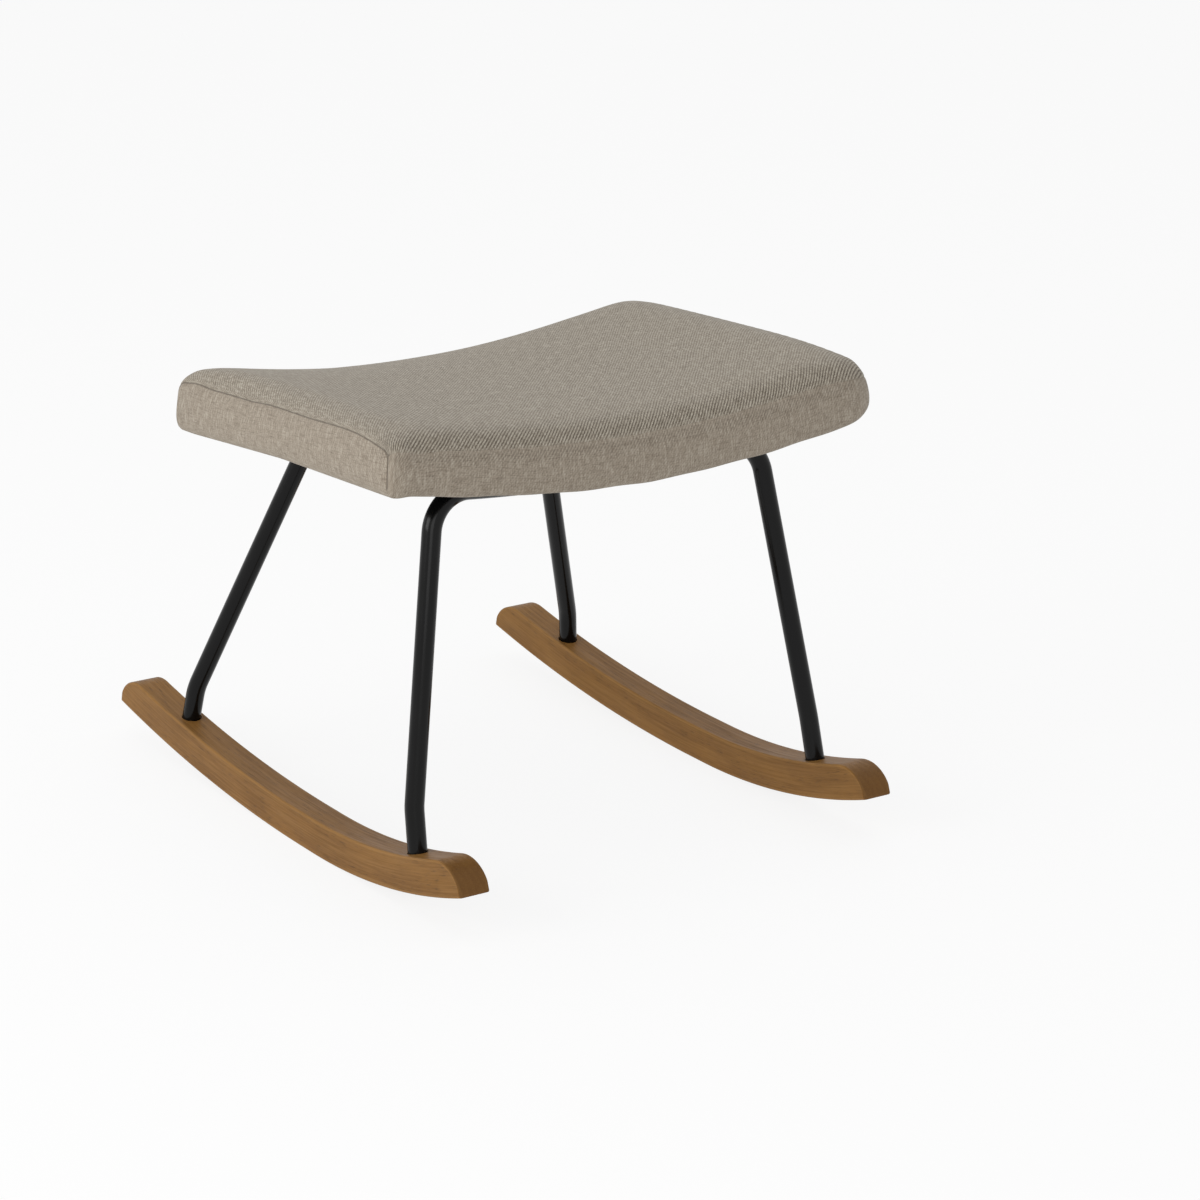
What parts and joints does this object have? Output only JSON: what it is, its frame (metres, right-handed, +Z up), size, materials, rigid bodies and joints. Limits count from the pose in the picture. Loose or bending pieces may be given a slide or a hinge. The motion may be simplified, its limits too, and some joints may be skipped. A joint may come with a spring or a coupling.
{
  "type": "rocking footstool",
  "caption": "Low footstool with a padded, fabric-covered seat that dips in the middle, on bent steel tube legs and curved wooden rockers.",
  "frame": {"origin": "On the floor, under the middle of the stool's outline.", "axes": "X runs across the seat to the stool's right, -Y is the front, +Y the rear, +Z is up. Runners lie along Y."},
  "size_m": [0.4802, 0.5592, 0.3991],
  "materials": {
    "wood": "satin, stained brown oak",
    "black_steel": "satin black powder coat",
    "cloth": "woven twill, matt",
    "plywood": "raw plywood",
    "foam": "open cell foam",
    "dust_cloth": "non-woven, matt",
    "zinc": "zinc plated"
  },
  "bodies": {
    "root": {"runner_left": "wood", "runner_right": "wood", "front_frame": "black_steel", "rear_frame": "black_steel", "seat_board": "plywood", "foam_pad": "foam", "cover_main": "cloth", "cover_end_left": "cloth", "cover_end_right": "cloth", "dust_cover": "dust_cloth", "tee_nut_front_left": "zinc", "tee_nut_front_right": "zinc", "tee_nut_rear_left": "zinc", "tee_nut_rear_right": "zinc", "seat_bolt_front_left": "zinc", "seat_bolt_front_right": "zinc", "seat_bolt_rear_left": "zinc", "seat_bolt_rear_right": "zinc", "seat_washer_front_left": "zinc", "seat_washer_front_right": "zinc", "seat_washer_rear_left": "zinc", "seat_washer_rear_right": "zinc", "leg_insert_front_left": "zinc", "leg_insert_front_right": "zinc", "leg_insert_rear_left": "zinc", "leg_insert_rear_right": "zinc", "runner_bolt_front_left": "zinc", "runner_bolt_front_right": "zinc", "runner_bolt_rear_left": "zinc", "runner_bolt_rear_right": "zinc", "runner_washer_front_left": "zinc", "runner_washer_front_right": "zinc", "runner_washer_rear_left": "zinc", "runner_washer_rear_right": "zinc"}
  },
  "joints": []
}
